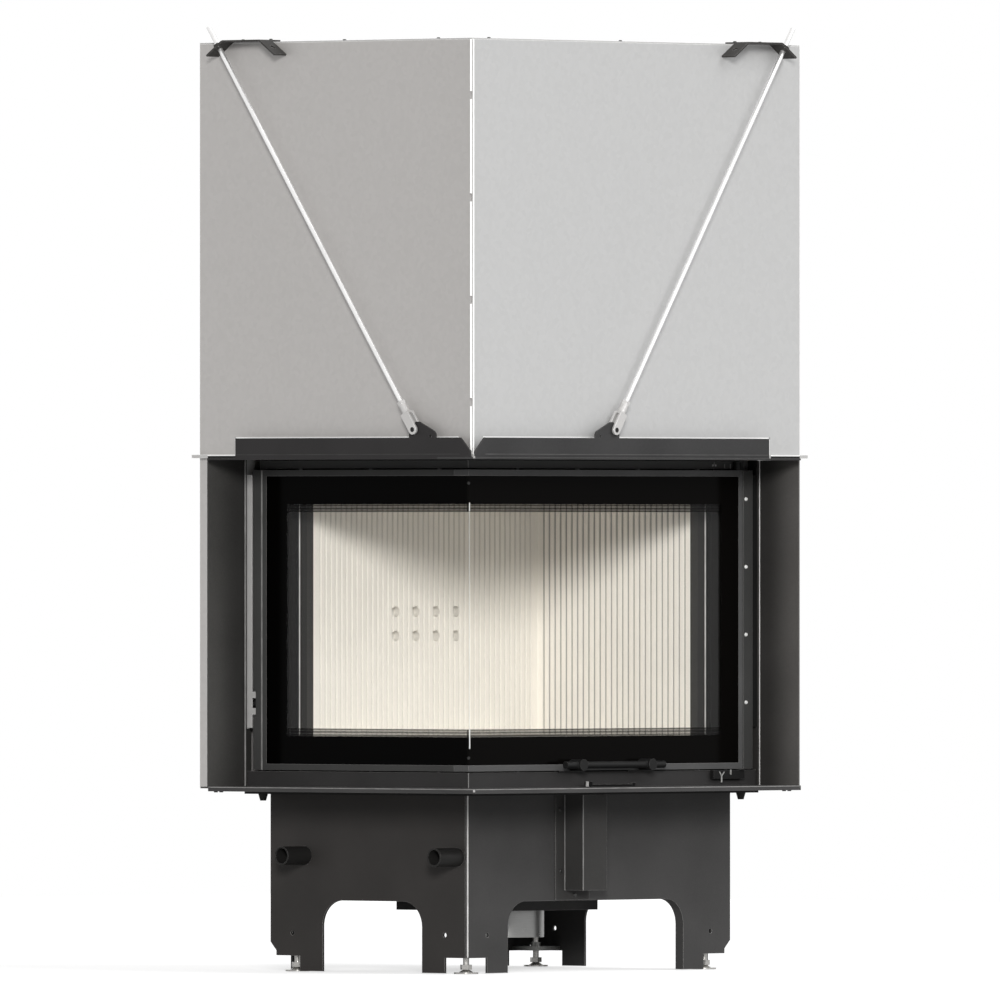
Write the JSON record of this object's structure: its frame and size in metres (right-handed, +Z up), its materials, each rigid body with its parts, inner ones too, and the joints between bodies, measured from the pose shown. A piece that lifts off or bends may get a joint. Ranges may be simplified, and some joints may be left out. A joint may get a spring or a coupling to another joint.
{
  "type": "fireplace insert",
  "caption": "Corner fireplace insert with a lifting glass door on two sides, ceramic-lined firebox, galvanised upper casing and steel base on screw feet",
  "frame": {"origin": "centre of the bounding box's footprint, on the floor under the feet", "axes": "+Z up; the wide glass side faces -Y, the narrow glass side faces -X, so the glass corner is at -X -Y; +X right along the wide side"},
  "size_m": [0.84, 0.642, 1.5474],
  "materials": {
    "black_coat": "matt black heat-resistant coat",
    "black_sill": "matt black heat-resistant coat",
    "black_wing": "matt black heat-resistant coat",
    "black_stove": "matt black stove paint",
    "black_door": "satin black stove paint",
    "black_lever": "satin black",
    "black_handle": "satin black",
    "black_iron": "matt black coat on folded steel",
    "black_rubber": "matt rubber",
    "roller_black": "matt black, heat-resistant",
    "galvanised": "galvanised sheet, fine spangle",
    "galvanised_pipe": "galvanised pipe, semi-matt",
    "zinc_plate": "zinc-plated steel",
    "zinc_rail": "zinc-plated folded sheet",
    "white_zinc": "bright white zinc plate",
    "foot_zinc": "zinc-plated, turned",
    "screw_zinc": "zinc-plated",
    "clip_steel": "satin steel",
    "raw_steel": "mill-finish bar",
    "steel_cable": "stranded steel",
    "firebox_ceramic": "matt cream fireclay, ribbed",
    "baffle_board": "matt vermiculite board",
    "ceramic_glass": "clear ceramic glass, black printed border",
    "glass_rope": "braided glass-fibre rope"
  },
  "bodies": {
    "insert": {"base_front": "black_coat", "base_left": "black_coat", "base_back": "black_coat", "duct_cover": "black_coat", "cover_screws": "screw_zinc", "carrying_tubes": "black_coat", "foot_plates": "zinc_plate", "air_box": "black_coat", "air_spigot": "galvanised_pipe", "sill_plate": "black_sill", "apron": "black_coat", "wing_right": "black_wing", "wing_left": "black_wing", "lower_cover": "galvanised", "guide_rail_right": "zinc_rail", "guide_rail_rear": "zinc_rail", "door_buffers": "black_rubber", "firebox_body": "black_stove", "smoke_dome": "black_stove", "flue_collar": "black_stove", "lining_back": "firebox_ceramic", "lining_right": "firebox_ceramic", "lining_floor": "firebox_ceramic", "baffle_plate": "baffle_board", "wall_trims": "black_stove", "door_cables": "steel_cable", "weight_cables": "steel_cable", "cable_turns": "steel_cable", "casing_front": "galvanised", "casing_left": "galvanised", "casing_back": "galvanised", "casing_top": "galvanised", "casing_flange": "galvanised", "lintel_front": "black_iron", "lintel_left": "black_iron", "tie_rods": "white_zinc", "rod_forks": "white_zinc", "rod_brackets": "black_iron", "rod_nuts": "black_iron"},
    "door": {"door_carriage": "black_door", "front_frame": "black_door", "front_glass": "ceramic_glass", "side_glass": "ceramic_glass", "door_seals": "glass_rope", "door_handle": "black_handle", "door_hinges": "black_door", "door_screws": "screw_zinc", "corner_clips": "clip_steel"},
    "weights": {"counterweight_right": "raw_steel", "counterweight_rear": "raw_steel"},
    "right_pulley": {"pulley_right": "zinc_plate"},
    "rear_pulley": {"pulley_rear": "zinc_plate"},
    "right_roller": {"roller_right": "roller_black"},
    "rear_roller": {"roller_rear": "roller_black"},
    "lever": {"air_lever": "black_lever"},
    "shutter": {"air_shutter": "zinc_plate"},
    "front_left_foot": {"foot_front_left": "foot_zinc"},
    "front_right_foot": {"foot_front_right": "foot_zinc"},
    "rear_left_foot": {"foot_rear_left": "foot_zinc"},
    "rear_right_foot": {"foot_rear_right": "foot_zinc"}
  },
  "joints": [
    {"name": "door_lift", "type": "slide", "parent": "insert", "child": "door", "axis": [0, 0, 1], "range_m": [0, 0.44], "deforming": ["door_cables"]},
    {"name": "weight_travel", "type": "slide", "parent": "insert", "child": "weights", "axis": [0, 0, 1], "range_m": [-0.44, 0], "deforming": ["weight_cables"]},
    {"name": "right_pulley_turn", "type": "hinge", "parent": "insert", "child": "right_pulley", "pos_m": [0.3765, -0.1435, 1.44], "axis": [1, 0, 0], "continuous": true},
    {"name": "rear_pulley_turn", "type": "hinge", "parent": "insert", "child": "rear_pulley", "pos_m": [-0.2425, 0.2625, 1.44], "axis": [0, 1, 0], "continuous": true},
    {"name": "right_roller_turn", "type": "hinge", "parent": "door", "child": "right_roller", "pos_m": [0.3918, -0.1905, 0.439], "axis": [1, 0, 0], "continuous": true},
    {"name": "rear_roller_turn", "type": "hinge", "parent": "door", "child": "rear_roller", "pos_m": [-0.2895, 0.2778, 0.439], "axis": [0, 1, 0], "continuous": true},
    {"name": "air_lever_turn", "type": "hinge", "parent": "insert", "child": "lever", "pos_m": [0.0845, -0.2125, 0.305], "axis": [0, 0, 1], "range_deg": [0, 70]},
    {"name": "air_shutter_slide", "type": "slide", "parent": "insert", "child": "shutter", "axis": [1, 0, 0], "range_m": [-0.0315, 0]},
    {"name": "front_left_foot_screw", "type": "slide", "parent": "insert", "child": "front_left_foot", "axis": [0, 0, -1], "range_m": [0, 0.015]},
    {"name": "front_right_foot_screw", "type": "slide", "parent": "insert", "child": "front_right_foot", "axis": [0, 0, -1], "range_m": [0, 0.015]},
    {"name": "rear_left_foot_screw", "type": "slide", "parent": "insert", "child": "rear_left_foot", "axis": [0, 0, -1], "range_m": [0, 0.015]},
    {"name": "rear_right_foot_screw", "type": "slide", "parent": "insert", "child": "rear_right_foot", "axis": [0, 0, -1], "range_m": [0, 0.015]}
  ],
  "couplings": [
    {"joint": "weight_travel", "follows": "door_lift", "ratio": -1},
    {"joint": "right_pulley_turn", "follows": "door_lift", "rad_per_m": -35.714},
    {"joint": "rear_pulley_turn", "follows": "door_lift", "rad_per_m": 35.714},
    {"joint": "right_roller_turn", "follows": "door_lift", "rad_per_m": 153.85},
    {"joint": "rear_roller_turn", "follows": "door_lift", "rad_per_m": -153.85},
    {"joint": "air_shutter_slide", "follows": "air_lever_turn", "m_per_rad": -0.02535}
  ]
}
